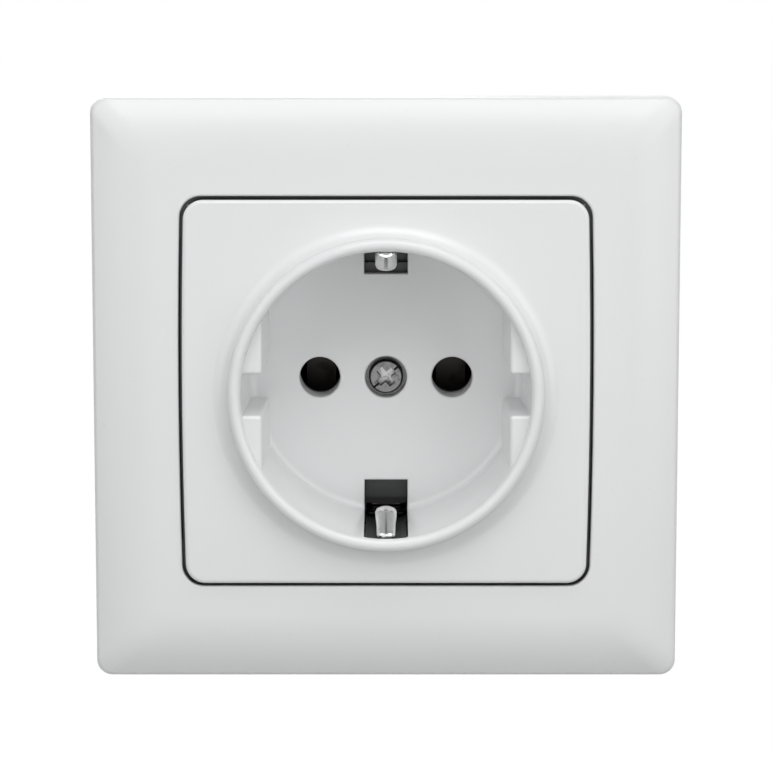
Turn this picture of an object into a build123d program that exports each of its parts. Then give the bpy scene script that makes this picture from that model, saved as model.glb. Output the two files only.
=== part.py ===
from build123d import *
import os
from math import asin, cos, radians, sin, sqrt

os.makedirs("parts", exist_ok=True)

# Flush wall socket outlet with side earthing contacts, in millimetres.
# X is to the right, Y goes into the wall and Z is up. The origin is the socket's axis on the wall plane.
# Heights above the wall are negative Y, so a front face at height h lies at y = -h.

# Square cover frame
frame_side = 82.0
frame_corner = 2.2
frame_height = 5.9
frame_wall = 1.8
frame_inner_corner = frame_corner - 1.0
frame_edge_round = 1.0
frame_slope_width = 8.7
frame_slope_drop = 2.4

# Opening in the frame: straight top and bottom, sides that bow outwards
opening_width = 57.8
opening_height = 55.0
opening_bow = 0.4
opening_corner = 3.0
opening_edge_round = 0.35
corner_tab_wall = 1.2
corner_tab_overlap = 0.3
corner_tab_reach = 6.0
ledge_drop = 2.4
ledge_width = 2.2
ledge_thickness = 0.9

# Centre plate with its ring and well
plate_gap = 0.5
plate_height = 6.6
plate_wall = 1.6
plate_edge_round = 0.55
plate_skirt = 1.2
skirt_inset = 0.8
plate_seat_gap = 0.1
well_depth = 17.5
well_bottom_radius = 19.5
well_mouth_radius = well_bottom_radius + 0.65
well_wall = 1.5
well_floor = 1.6
well_corner_round = 1.0
well_back_round = 0.8
ring_radius = well_mouth_radius + 1.8
ring_height = 9.7
ring_cove = 2.2

# Guide ribs at both sides of the well
rib_half_gap_floor = well_bottom_radius - 2.8
rib_half_gap_mouth = well_bottom_radius - 2.3
rib_below_ring = 1.5
rib_notch = 5.8
rib_round = 0.5

# Pin holes
pin_spacing = 19.0
pin_hole_radius = 2.925
hole_lip_round = 0.3
pin_collar_radius = 4.2
pin_collar_length = 3.2
pin_way_widening = 0.1

# Slots for the earthing contacts
earth_slot_width = 6.2
earth_slot_start = 15.0
earth_slot_below_ring = 1.0
earth_slot_end = well_mouth_radius + 1.35
earth_slot_corner = 0.7
earth_slot_round = 0.2

# Screw in the middle of the well
centre_recess_radius = 3.0
centre_recess_depth = 2.9
centre_boss_radius = 4.5
centre_boss_floor = 1.3
centre_head_radius = 2.475
centre_head_height = 2.6
centre_cross = 2.4
centre_screw_turn = 0.2
centre_shank_radius = 1.5
centre_shank_length = 13.5

# Steel support plate with its two legs
support_side = 71.0
support_corner = 9.0
support_thickness = 1.0
support_opening_radius = well_mouth_radius + 3.85
box_screw_spacing = 60.0
box_slot_width = 3.8
box_slot_length = 6.0
leg_width = 14.0
leg_beyond_screw = 2.8
leg_bend = 0.8
leg_root = 2.0

# Insulating cap and base, fits, and how far a cut runs past the face that it opens
block_wall = 0.9
block_rim = 0.6
block_corner = 4.0
block_edge_round = 1.0
cap_gap = 0.4
cap_thickness = 3.2
cap_boss_length = 1.6
base_depth = 18.0
base_rear_wall = 3.0
part_clearance = 0.2
press_gap = 0.05
press_fit = 0.02
past = 1.0

# Pockets for the contacts in the base
pocket_width = 9.6
pocket_room = 0.4
pocket_above_leaf = 1.6

# Earthing strap
strap_thickness = 0.8
strap_width = 7.6
strap_hole_radius = 1.9
arm_width = 3.1
arm_root_width = 5.6
arm_tip_radius = well_bottom_radius - 3.0
arm_tip_height = 3.0
arm_end_radius = well_bottom_radius + 0.6
arm_end_height = 8.4
arm_bends = (1.0, 3.0, 1.6)
arm_foot = 3.0
arm_taper_setback = 1.5
arm_taper_length = 3.0
tongue_width = 5.0
tower_width = 5.8
tower_thickness = 0.8
tower_tip_gap = 0.4
top_window_start = arm_tip_radius - 0.1
bottom_window_start = arm_tip_radius + 1.4
window_shelf_depth = 1.6
window_shelf_end = well_bottom_radius - 0.4

# Pin contacts
leaf_thickness = 0.6
leaf_width = 6.0
leaf_throat = 4.2
leaf_mouth = 7.0
leaf_root = 5.4
leaf_lead_in = 4.0
leaf_bend = 1.5
leaf_heel = 2.5
leaf_front_gap = 0.4
contact_back_gap = 0.4

# Terminal clamps and their screws
clamp_width = 8.8
clamp_height = 8.4
clamp_wall = 1.1
clamp_length = 6.4
clamp_setback = 6.5
clamp_corner = 0.6
tail_gap = 0.1
tail_setback = 0.3
earth_clamp_start = 7.0
terminal_shank_radius = 1.7
terminal_head_radius = 2.9
terminal_head_height = 2.0
terminal_cross = 2.6
terminal_head_gap = 1.0
terminal_head_sink = 0.4
terminal_tip = 4.0
wire_hole_radius = 1.5
wire_hole_offset = 1.8

# Spreader claws
claw_height = 8.0
claw_width = 6.0
claw_thickness = 1.2
claw_pivot_reach = 2.6
claw_pivot_setback = 2.5
claw_pin_radius = 1.0
claw_eye_radius = 2.2
claw_screw_reach = 7.2
claw_heel = 2.9
claw_tail_gap = 4.0
claw_tooth = 2.2
claw_screw_radius = 1.5
claw_screw_head_radius = 2.4
claw_screw_head_height = 1.5
claw_screw_length = 24.0
claw_screw_cross = 2.4
claw_slot_length = 4.4
claw_slot_play = 0.4
claw_slot_offset = 0.1
cheek_thickness = 1.6
cheek_reach = 2.4
cheek_gap = 0.3
running_clearance = 0.06

# Small screws that hold the mechanism together
small_shank_radius = 1.15
small_head_radius = 2.1
small_head_height = 1.4
small_screw_length = 8.0
small_cross = 2.0
cap_screw_x = 10.5
cap_screw_z = 12.0
cap_screw_recess = 1.6
yoke_screw_setback = 2.8
yoke_screw_length = 5.0
bush_radius = 3.0
bush_length = 8.0
bush_sink = 0.1
centre_hole_length = 12.0

# Ribs behind the slope of the frame
frame_rib_thickness = 1.2
frame_rib_spacing = 13.0
frame_rib_lift = 1.5

# Levels along Y that follow from the sizes above
well_floor_y = well_depth - ring_height
well_back_y = well_floor_y + well_floor
cap_front_y = well_back_y + cap_gap
cap_back_y = cap_front_y + cap_thickness
base_back_y = cap_back_y + base_depth
pocket_back_y = base_back_y - base_rear_wall
contact_web_y = pocket_back_y - contact_back_gap - leaf_thickness
clamp_front_y = cap_back_y + clamp_setback
clamp_mid_y = clamp_front_y + clamp_length / 2
claw_pivot_y = cap_back_y + claw_pivot_setback
claw_tail_y = base_back_y - claw_tail_gap
yoke_screw_y = cap_back_y + yoke_screw_setback
leg_end_y = yoke_screw_y + leg_beyond_screw

# Places across the mechanism that follow from the sizes above
pin_x = pin_spacing / 2
arm_root_radius = earth_slot_end - 2 * press_gap - tower_thickness - part_clearance
block_width = 2 * (pin_x + pocket_width / 2 + block_wall)
block_height = 2 * (arm_root_radius + part_clearance + tower_thickness + block_rim)
terminal_stack = clamp_height + terminal_head_gap + terminal_head_height + terminal_head_sink
pole_clamp_start = block_height / 2 - terminal_stack
pocket_top = leaf_width / 2 + pocket_above_leaf
pocket_bottom = -(pole_clamp_start + clamp_height + pocket_room)
earth_pocket_low = earth_clamp_start - pocket_room
earth_pocket_high = earth_clamp_start + clamp_height + 2 * pocket_room
claw_pivot_x = block_width / 2 + claw_pivot_reach
claw_screw_x = claw_pivot_x + claw_screw_reach
claw_reach = claw_screw_x + claw_heel


side_plane = Plane(origin=(0, 0, 0), x_dir=(0, 1, 0), z_dir=(1, 0, 0))


def front(y):
    """Plane that faces the room at depth y, with X to the right and Z up."""
    return Plane(origin=(0, y, 0), x_dir=(1, 0, 0), z_dir=(0, -1, 0))


def slab(sketch, y_near, y_far):
    """Extrude a front-view sketch from the nearer level to the farther one."""
    return extrude(front(y_far) * sketch, amount=y_far - y_near)


def rod(x, z, radius, y_near, y_far):
    """Round bar or hole along Y."""
    return slab(Pos(x, z) * Circle(radius), y_near, y_far)


def block(x0, x1, y0, y1, z0, z1):
    """Rectangular block between two corners."""
    centre = ((x0 + x1) / 2, (y0 + y1) / 2, (z0 + z1) / 2)
    return Pos(*centre) * Box(x1 - x0, y1 - y0, z1 - z0)


def bowed_rectangle(width, height, bow, corner):
    """Rounded rectangle whose left and right sides bow outwards by the given amount."""
    x_mid = width / 2
    x_end = x_mid - bow
    z_end = height / 2
    top = Line((-x_end, z_end), (x_end, z_end))
    right = ThreePointArc((x_end, z_end), (x_mid, 0), (x_end, -z_end))
    bottom = Line((x_end, -z_end), (-x_end, -z_end))
    left = ThreePointArc((-x_end, -z_end), (-x_mid, 0), (-x_end, z_end))
    face = make_face([top, right, bottom, left])
    return fillet(face.vertices(), corner)


def opening_outline(inset):
    """Outline of the frame's opening, moved inwards by the inset."""
    width = opening_width - 2 * inset
    height = opening_height - 2 * inset
    return bowed_rectangle(width, height, opening_bow, opening_corner - inset / 2)


def bent_strip(points, bend_radius, thickness, width, plane):
    """Sheet strip that follows a polyline with rounded bends, to the left of the line."""
    path = FilletPolyline(*points, radius=bend_radius)
    outline = offset(path, amount=thickness, side=Side.LEFT)
    return extrude(plane * make_face(outline.edges()), amount=width / 2, both=True)


def combination_screw(head_radius, head_height, shank_radius, length, recess):
    """Screw whose turned head has a slot and a cross recess. The head's seat is at z = 0, facing +Z."""
    rim_bevel = head_radius * 0.12
    tip_bevel = shank_radius * 0.3
    cross_depth = head_height * 0.75
    cross_arm = recess * 0.3
    slot_width = recess * 0.24
    slot_depth = head_height * 0.35
    head = Pos(0, 0, head_height / 2) * Cylinder(head_radius, head_height)
    head = chamfer(head.edges().sort_by(Axis.Z)[-1], rim_bevel)
    shank = Pos(0, 0, -length / 2) * Cylinder(shank_radius, length)
    shank = chamfer(shank.edges().sort_by(Axis.Z)[0], tip_bevel)
    arms = Rectangle(recess, cross_arm) + Rectangle(cross_arm, recess)
    cross = extrude(Pos(0, 0, head_height) * arms, amount=-cross_depth, taper=10)
    slot = Pos(0, 0, head_height) * Box(3 * head_radius, slot_width, 2 * slot_depth)
    return head + shank - cross - slot


# Cover frame: moulded square ring with a rounded outer edge, a convex slope and a flat inner band.
# The slope is a circular arc that runs tangent into the flat band, and the edge round is tangent to it.
slope_radius = (frame_slope_width**2 + frame_slope_drop**2) / (2 * frame_slope_drop)
slope_start = frame_side / 2 - frame_slope_width
slope_centre = frame_height - slope_radius
round_reach = frame_slope_width - frame_edge_round
round_centre = slope_centre + sqrt((slope_radius - frame_edge_round) ** 2 - round_reach**2)
slope_angle = asin(round_reach / (slope_radius - frame_edge_round))


def frame_level(half, height, corner):
    """One level of the frame's outside: a rounded square at a height above the wall."""
    return front(-height) * RectangleRounded(2 * half, 2 * half, corner)


round_levels = []
for step in range(0, 6):
    turn = (radians(90) - slope_angle) * step / 5
    half = frame_side / 2 - frame_edge_round + frame_edge_round * cos(turn)
    round_levels.append(frame_level(half, round_centre + frame_edge_round * sin(turn), frame_corner))
slope_levels = []
for step in range(0, 7):
    turn = slope_angle * (1 - step / 6)
    half = slope_start + slope_radius * sin(turn)
    slope_levels.append(frame_level(half, slope_centre + slope_radius * cos(turn), frame_corner))
frame_body = slab(RectangleRounded(frame_side, frame_side, frame_corner), -round_centre, 0)
frame_body += loft(round_levels)
frame_body += loft(slope_levels)

rib_bars = []
for step in (-2, -1, 1, 2):
    at = step * frame_rib_spacing
    bar = Pos(at, 0) * Rectangle(frame_rib_thickness, frame_side - frame_wall)
    rib_bars.append(slab(bar, -frame_height, -frame_rib_lift))
    bar = Pos(0, at) * Rectangle(frame_side - frame_wall, frame_rib_thickness)
    rib_bars.append(slab(bar, -frame_height, -frame_rib_lift))
frame_ribs = [bar & frame_body for bar in rib_bars]

hollow_radius = slope_radius - frame_wall
hollow_angle = asin((frame_side / 2 - frame_wall - slope_start) / hollow_radius)
hollow = [frame_level(frame_side / 2 - frame_wall, 0, frame_inner_corner)]
for step in range(0, 5):
    turn = hollow_angle * (1 - step / 4)
    half = slope_start + hollow_radius * sin(turn)
    hollow.append(frame_level(half, slope_centre + hollow_radius * cos(turn), frame_inner_corner))
frame_body -= loft(hollow, ruled=True)
for rib in frame_ribs:
    frame_body += rib
frame_body -= slab(opening_outline(0), -frame_height - past, 0)
opening_front = frame_body.faces().sort_by(Axis.Y)[0].inner_wires()[0]
frame_body = fillet(opening_front.edges(), opening_edge_round)

band_back = -frame_height + frame_wall
ledge_front = -frame_height + ledge_drop
tabs = slab(opening_outline(-corner_tab_wall), band_back - corner_tab_overlap, ledge_front + ledge_thickness)
tabs -= slab(opening_outline(0), -frame_height, ledge_front)
tabs -= slab(opening_outline(ledge_width), -frame_height, 0)
between_tabs = Rectangle(frame_side, opening_height - 2 * corner_tab_reach)
between_tabs += Rectangle(opening_width - 2 * corner_tab_reach, frame_side)
tabs -= slab(between_tabs, -frame_height, 0)
cover_frame = frame_body + tabs


# Centre plate: one moulding with the bowed front panel, the raised ring and the deep round well.
panel = slab(opening_outline(plate_gap), -plate_height, -plate_height + plate_wall)
panel = fillet(panel.faces().sort_by(Axis.Y)[0].edges(), plate_edge_round)
skirt_gap = plate_gap + skirt_inset
skirt = slab(opening_outline(skirt_gap), -plate_height + plate_wall, ledge_front - plate_seat_gap)
skirt -= slab(opening_outline(skirt_gap + plate_skirt), -plate_height, 0)
panel += skirt
panel -= rod(0, 0, well_mouth_radius + 0.5, -plate_height - past, 0)

rim_radius = (ring_radius - well_mouth_radius) / 2
rim_y = -ring_height + rim_radius
cove_mid = ring_cove * (1 - sqrt(0.5))
well_section = make_face(
    [
        Line((0, well_floor_y), (well_bottom_radius, well_floor_y)),
        Line((well_bottom_radius, well_floor_y), (well_mouth_radius, rim_y)),
        ThreePointArc(
            (well_mouth_radius, rim_y), (well_mouth_radius + rim_radius, -ring_height), (ring_radius, rim_y)
        ),
        Line((ring_radius, rim_y), (ring_radius, -plate_height - ring_cove)),
        ThreePointArc(
            (ring_radius, -plate_height - ring_cove),
            (ring_radius + cove_mid, -plate_height - cove_mid),
            (ring_radius + ring_cove, -plate_height),
        ),
        Line((ring_radius + ring_cove, -plate_height), (ring_radius + ring_cove, -plate_height + plate_wall)),
        Line(
            (ring_radius + ring_cove, -plate_height + plate_wall),
            (well_mouth_radius + well_wall, -plate_height + plate_wall),
        ),
        Line(
            (well_mouth_radius + well_wall, -plate_height + plate_wall),
            (well_bottom_radius + well_wall, well_back_y),
        ),
        Line((well_bottom_radius + well_wall, well_back_y), (0, well_back_y)),
        Line((0, well_back_y), (0, well_floor_y)),
    ]
)
well = revolve(Plane.XY * well_section, Axis.Y)

# Guide ribs stand at the left and right, drafted like the well, with a notch between the upper and lower one.
rib_front = -ring_height + rib_below_ring
rib_section = make_face(
    Polyline(
        (rib_half_gap_floor, well_floor_y + 0.2),
        (rib_half_gap_mouth, rib_front),
        (well_mouth_radius + past, rib_front),
        (well_mouth_radius + past, well_floor_y + 0.2),
        close=True,
    )
)
rib_limit = rod(0, 0, well_mouth_radius + 0.2, rib_front - past, well_floor_y + past)
ribs = []
for side in (-1, 1):
    for end in (-1, 1):
        rib = extrude(rib_section, amount=well_mouth_radius)
        rib = Pos(0, 0, rib_notch / 2) * rib
        if side < 0:
            rib = mirror(rib, Plane.YZ)
        if end < 0:
            rib = mirror(rib, Plane.XY)
        ribs.append(rib & rib_limit)

centre_plate = panel + well
for rib in ribs:
    centre_plate += rib

for side in (-1, 1):
    collar_end = well_back_y + pin_collar_length
    centre_plate += rod(side * pin_x, 0, pin_collar_radius, well_back_y - 0.2, collar_end)
    centre_plate -= rod(side * pin_x, 0, pin_hole_radius, well_floor_y - past, collar_end + past)

recess_floor = well_floor_y + centre_recess_depth
centre_boss_end = recess_floor + centre_boss_floor
centre_plate += rod(0, 0, centre_boss_radius, well_back_y - 0.2, centre_boss_end)
centre_plate -= rod(0, 0, centre_recess_radius, well_floor_y - past, recess_floor)
centre_plate -= rod(0, 0, centre_shank_radius + part_clearance, recess_floor - past, centre_boss_end + past)

slot_front = -ring_height + earth_slot_below_ring
slot_outline = RectangleRounded(earth_slot_width, 2 * (well_back_y - slot_front), earth_slot_corner)
slot_depth = earth_slot_end - earth_slot_start
slot_cut = extrude(Pos(0, well_back_y) * slot_outline, amount=slot_depth)
slot_cut = Pos(0, 0, earth_slot_start) * slot_cut
half_slot = earth_slot_width / 2
behind_panel = -plate_height + plate_wall + 0.4
slot_behind = earth_slot_start + 2
slot_cut += block(-half_slot, half_slot, behind_panel, well_back_y + past, slot_behind, ring_radius + 2)
centre_plate -= slot_cut
centre_plate -= mirror(slot_cut, Plane.XY)


def edge_middle(edge):
    """Middle of the box round an edge."""
    return edge.center(CenterOf.BOUNDING_BOX)


def circles_at(shape, radius, y):
    """Circular edges of the given radius that lie at depth y."""
    found = []
    for edge in shape.edges().filter_by(GeomType.CIRCLE):
        if abs(edge.radius - radius) < 0.02 and abs(edge_middle(edge).Y - y) < 0.01:
            found.append(edge)
    return found


hole_lips = circles_at(centre_plate, pin_hole_radius, well_floor_y)
hole_lips += circles_at(centre_plate, centre_recess_radius, well_floor_y)
centre_plate = fillet(hole_lips, hole_lip_round)

rib_edges = []
for edge in centre_plate.edges().filter_by(GeomType.LINE):
    middle = edge_middle(edge)
    on_front = abs(middle.Y - rib_front) < 0.01 and abs(middle.X) > rib_half_gap_floor - 0.7
    by_notch = abs(abs(middle.Z) - rib_notch / 2) < 0.01 and edge.length > 10
    if on_front or by_notch and abs(middle.X) < rib_half_gap_mouth + 0.1:
        rib_edges.append(edge)
centre_plate = fillet(rib_edges, rib_round)

slot_edges = []
for edge in centre_plate.edges().filter_by(GeomType.LINE):
    middle = edge_middle(edge)
    if abs(middle.Y - well_floor_y) < 0.01 and abs(middle.Z) > earth_slot_start - 0.1:
        if abs(middle.X) < half_slot + 0.01:
            slot_edges.append(edge)
centre_plate = fillet(slot_edges, earth_slot_round)
centre_plate = fillet(circles_at(centre_plate, well_bottom_radius, well_floor_y), well_corner_round)
well_outside = well_bottom_radius + well_wall
centre_plate = fillet(circles_at(centre_plate, well_outside, well_back_y), well_back_round)


# Centre screw: its head sits on the recess's floor in the middle of the well.
centre_screw = combination_screw(
    centre_head_radius, centre_head_height, centre_shank_radius, centre_shank_length, centre_cross
)
screw_seat = Plane(
    origin=(0, recess_floor, 0),
    x_dir=(cos(centre_screw_turn), 0, sin(centre_screw_turn)),
    z_dir=(0, -1, 0),
)
centre_screw = screw_seat * centre_screw


# Support plate: stamped from steel sheet, slotted for the wall box, with a leg folded back above and below.
leg_inner = block_height / 2 + part_clearance
leg_outer = leg_inner + support_thickness
support_plate = slab(RectangleRounded(support_side, support_side, support_corner), -support_thickness, 0)
support_plate -= slab(
    Circle(support_opening_radius) & Rectangle(4 * support_opening_radius, 2 * leg_inner),
    -support_thickness - past,
    1,
)
slot_at = box_screw_spacing / 2
for side in (-1, 1):
    across = Pos(side * slot_at, 0) * SlotOverall(box_slot_length, box_slot_width)
    upright = Pos(0, side * slot_at) * SlotOverall(box_slot_length, box_slot_width, rotation=90)
    support_plate -= slab(across + upright, -support_thickness - past, past)
    screw_way = claw_screw_radius + part_clearance
    support_plate -= rod(side * claw_screw_x, side * claw_height, screw_way, -support_thickness - past, past)

leg = block(-leg_width / 2, leg_width / 2, -support_thickness, leg_end_y, leg_inner, leg_outer)
leg += block(-leg_width / 2, leg_width / 2, -support_thickness, 0, leg_inner, leg_outer + leg_root)
inner_bend = leg.edges().filter_by(Axis.X).sort_by_distance((0, 0, leg_outer))[0]
leg = fillet([inner_bend], leg_bend)
outer_bend = leg.edges().filter_by(Axis.X).sort_by_distance((0, -support_thickness, leg_inner))[0]
leg = fillet([outer_bend], leg_bend)
yoke_hole = Pos(0, yoke_screw_y, leg_inner) * Cylinder(small_shank_radius + part_clearance, 8)
leg -= yoke_hole
relief = block(-leg_width / 2, leg_width / 2, -support_thickness - past, 1, leg_inner - past, leg_outer)
for leg_side in (leg, mirror(leg, Plane.XY)):
    cut = relief if leg_side is leg else mirror(relief, Plane.XY)
    support_plate -= cut
    support_plate += leg_side


# Insulating cap: closes the base at the front, leads the pins in and guards the earthing springs
# with two towers.
block_outline = RectangleRounded(block_width, block_height, block_corner)
contact_cap = slab(block_outline, cap_front_y, cap_back_y)
collar_room = well_back_y + pin_collar_length + part_clearance
arm_outer = arm_root_radius + part_clearance
tower_front = slot_front + tower_tip_gap
for side in (-1, 1):
    boss_radius = pin_collar_radius + part_clearance
    contact_cap += rod(side * pin_x, 0, boss_radius, cap_back_y, cap_back_y + cap_boss_length)
    contact_cap -= rod(side * pin_x, 0, boss_radius, cap_front_y - past, collar_room)
    pin_way = pin_hole_radius + pin_way_widening
    contact_cap -= rod(side * pin_x, 0, pin_way, collar_room - past, cap_back_y + cap_boss_length + past)
    contact_cap -= rod(
        side * cap_screw_x,
        cap_screw_z,
        small_head_radius + part_clearance,
        cap_front_y - past,
        cap_front_y + cap_screw_recess,
    )
    contact_cap -= rod(
        side * cap_screw_x, cap_screw_z, small_shank_radius + part_clearance, cap_front_y, cap_back_y + 1
    )
    tower_outer = arm_outer + tower_thickness
    tower = block(-tower_width / 2, tower_width / 2, tower_front, cap_back_y, arm_outer, tower_outer)
    window_start = top_window_start if side > 0 else bottom_window_start
    shelf_y = cap_front_y + window_shelf_depth
    window = block(-half_slot, half_slot, cap_front_y - past, shelf_y, window_start, arm_outer)
    window += block(-half_slot, half_slot, shelf_y - past, cap_back_y + past, window_shelf_end, arm_outer)
    if side < 0:
        tower = mirror(tower, Plane.XY)
        window = mirror(window, Plane.XY)
    contact_cap += tower
    contact_cap -= window
contact_cap -= rod(0, 0, centre_boss_radius + part_clearance, cap_front_y - past, cap_back_y + past)
groove_half = strap_width / 2 + part_clearance
groove_y = cap_back_y - strap_thickness
contact_cap -= block(-groove_half, groove_half, groove_y, cap_back_y + past, -arm_outer, arm_outer)


# Base: moulded block with two contact pockets, an earthing pocket, wire holes and screw openings.
socket_base = slab(block_outline, cap_back_y, base_back_y)
socket_base = fillet(socket_base.faces().sort_by(Axis.Y)[-1].edges(), block_edge_round)
half_pocket = pocket_width / 2
for side in (-1, 1):
    at = side * pin_x
    socket_base -= block(
        at - half_pocket, at + half_pocket, cap_back_y - past, pocket_back_y, pocket_bottom, pocket_top
    )
socket_base -= block(
    -half_pocket, half_pocket, cap_back_y - past, pocket_back_y, earth_pocket_low, earth_pocket_high
)
socket_base -= rod(0, 0, bush_radius, cap_back_y - past, cap_back_y + bush_length)
socket_base -= rod(0, 0, centre_shank_radius + part_clearance, cap_back_y, cap_back_y + centre_hole_length)

wire_mid = clamp_wall + strap_thickness + (clamp_height - 2 * clamp_wall - strap_thickness) / 2
head_room = terminal_head_radius + pocket_room
terminals = [
    ("live", -pin_x, -1, pole_clamp_start),
    ("neutral", pin_x, -1, pole_clamp_start),
    ("earth", 0.0, 1, earth_clamp_start),
]
for name, x, way, start in terminals:
    for offset_x in (-wire_hole_offset, wire_hole_offset):
        hole_z = way * (start + wire_mid)
        socket_base -= rod(x + offset_x, hole_z, wire_hole_radius, pocket_back_y - past, base_back_y + past)
    reach = block_height / 2 + 1
    inner = start + clamp_height - 1
    access = Pos(x, clamp_mid_y, way * (inner + reach) / 2) * Cylinder(head_room, reach - inner)
    socket_base -= access

for side in (-1, 1):
    cap_screw_end = cap_front_y + cap_screw_recess + small_screw_length
    socket_base -= rod(
        side * cap_screw_x, cap_screw_z, small_shank_radius + press_gap, cap_back_y - past, cap_screw_end
    )
    pilot_length = 2 * (yoke_screw_length - support_thickness)
    yoke_pilot = Pos(0, yoke_screw_y, side * block_height / 2) * Cylinder(
        small_shank_radius + press_gap, pilot_length
    )
    socket_base -= yoke_pilot

cheek_near = claw_width / 2 + cheek_gap
for side in (-1, 1):
    for end in (-1, 1):
        z_mid = side * claw_height + end * (cheek_near + cheek_thickness / 2)
        cheek = Pos(side * claw_pivot_x, claw_pivot_y) * Circle(cheek_reach)
        root_x = side * (block_width / 2 - 0.5)
        root_mid = (root_x + side * claw_pivot_x) / 2
        cheek += Pos(root_mid, claw_pivot_y) * Rectangle(abs(side * claw_pivot_x - root_x), 2 * cheek_reach)
        cheek -= Pos(side * claw_pivot_x, claw_pivot_y) * Circle(claw_pin_radius + press_fit)
        socket_base += Pos(0, 0, z_mid - cheek_thickness / 2) * extrude(cheek, amount=cheek_thickness)

# Threaded bush in the base for the centre screw.
screw_bush = rod(0, 0, bush_radius - press_fit, cap_back_y + bush_sink, cap_back_y + bush_length)
screw_bush -= rod(0, 0, centre_shank_radius + press_gap, 0, base_back_y)


# Earthing strap: one piece of spring sheet across the mechanism, with a spring arm in each slot and a
# tongue folded back into the earth terminal.
strap_outline = Rectangle(strap_width, 2 * (arm_root_radius - arm_foot / 2)) - Circle(strap_hole_radius)
strap_flat = slab(strap_outline, groove_y, cap_back_y)
tongue_z = earth_clamp_start + clamp_wall + tail_gap
tongue_half = tongue_width / 2
strap_flat -= block(-tongue_half, tongue_half, 0, base_back_y, tongue_z + strap_thickness, tongue_z + 7)
tongue = block(
    -tongue_half, tongue_half, groove_y, clamp_front_y + clamp_length, tongue_z, tongue_z + strap_thickness
)
earth_strap = strap_flat + tongue

arm_points = [
    (cap_back_y, arm_root_radius - arm_foot),
    (cap_back_y, arm_root_radius),
    (well_floor_y, arm_root_radius),
    (-arm_tip_height, arm_tip_radius + strap_thickness),
    (-arm_end_height, arm_end_radius),
]
arm = bent_strip(arm_points, arm_bends, strap_thickness, arm_root_width, side_plane)
taper_y = well_floor_y - arm_taper_setback
taper_back_y = taper_y + arm_taper_length
half_root = arm_root_width / 2
half_arm = arm_width / 2
arm_front_view = make_face(
    Polyline(
        (-half_root, cap_back_y + past),
        (-half_root, taper_back_y),
        (-half_arm, taper_y),
        (-half_arm, -arm_end_height - past),
        (half_arm, -arm_end_height - past),
        (half_arm, taper_y),
        (half_root, taper_back_y),
        (half_root, cap_back_y + past),
        close=True,
    )
)
arm &= extrude(arm_front_view, amount=arm_root_radius + 5)
earth_strap += arm
earth_strap += mirror(arm, Plane.XY)


# Pin contacts: bent brass clips with two sprung leaves and a tail that runs into the terminal clamp.
def pin_contact():
    """Contact for the pin on the +X side."""
    half_root_gap = leaf_root / 2
    leaf_front = cap_back_y + cap_boss_length + leaf_front_gap
    points = [
        (-leaf_mouth / 2, leaf_front),
        (-leaf_throat / 2, leaf_front + leaf_lead_in),
        (-half_root_gap, contact_web_y - leaf_heel),
        (-half_root_gap, contact_web_y + leaf_thickness),
    ]
    leaf = bent_strip(points, leaf_bend, leaf_thickness, leaf_width, Plane.XY)
    clip = leaf + mirror(leaf, Plane.YZ)
    half_leaf = leaf_width / 2
    web_back = contact_web_y + leaf_thickness
    web_half = half_root_gap + leaf_thickness
    tail_z = -(pole_clamp_start + clamp_wall + tail_gap)
    clip += block(-web_half, web_half, contact_web_y, web_back, tail_z - strap_thickness, half_leaf)
    clip += block(
        -tongue_half, tongue_half, clamp_front_y + tail_setback, web_back, tail_z - strap_thickness, tail_z
    )
    return Pos(pin_x, 0, 0) * clip


neutral_contact = pin_contact()
live_contact = mirror(neutral_contact, Plane.YZ)


# Terminal clamps: rectangular brass cages around the tail, each with its screw.
def terminal_clamp(x, way, start):
    """Cage whose wire passage runs along Y and whose screw comes from outside."""
    mid = start + clamp_height / 2
    outer = Pos(x, clamp_mid_y, way * mid) * Box(clamp_width, clamp_length, clamp_height)
    outer = fillet(outer.edges().filter_by(Axis.Y), clamp_corner)
    passage = Pos(x, clamp_mid_y, way * mid) * Box(
        clamp_width - 2 * clamp_wall, clamp_length + 2, clamp_height - 2 * clamp_wall
    )
    thread = Cylinder(terminal_shank_radius + press_gap, 4 * clamp_wall)
    thread = Pos(x, clamp_mid_y, way * (start + clamp_height)) * thread
    return outer - passage - thread


def terminal_screw(x, way, start):
    """Clamping screw that faces outwards."""
    seat = start + clamp_height + terminal_head_gap
    length = seat - start - terminal_tip
    screw = combination_screw(
        terminal_head_radius, terminal_head_height, terminal_shank_radius, length, terminal_cross
    )
    return Plane(origin=(x, clamp_mid_y, way * seat), x_dir=(1, 0, 0), z_dir=(0, 0, way)) * screw


clamps = {name: terminal_clamp(x, way, start) for name, x, way, start in terminals}
terminal_screws = {name: terminal_screw(x, way, start) for name, x, way, start in terminals}


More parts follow.
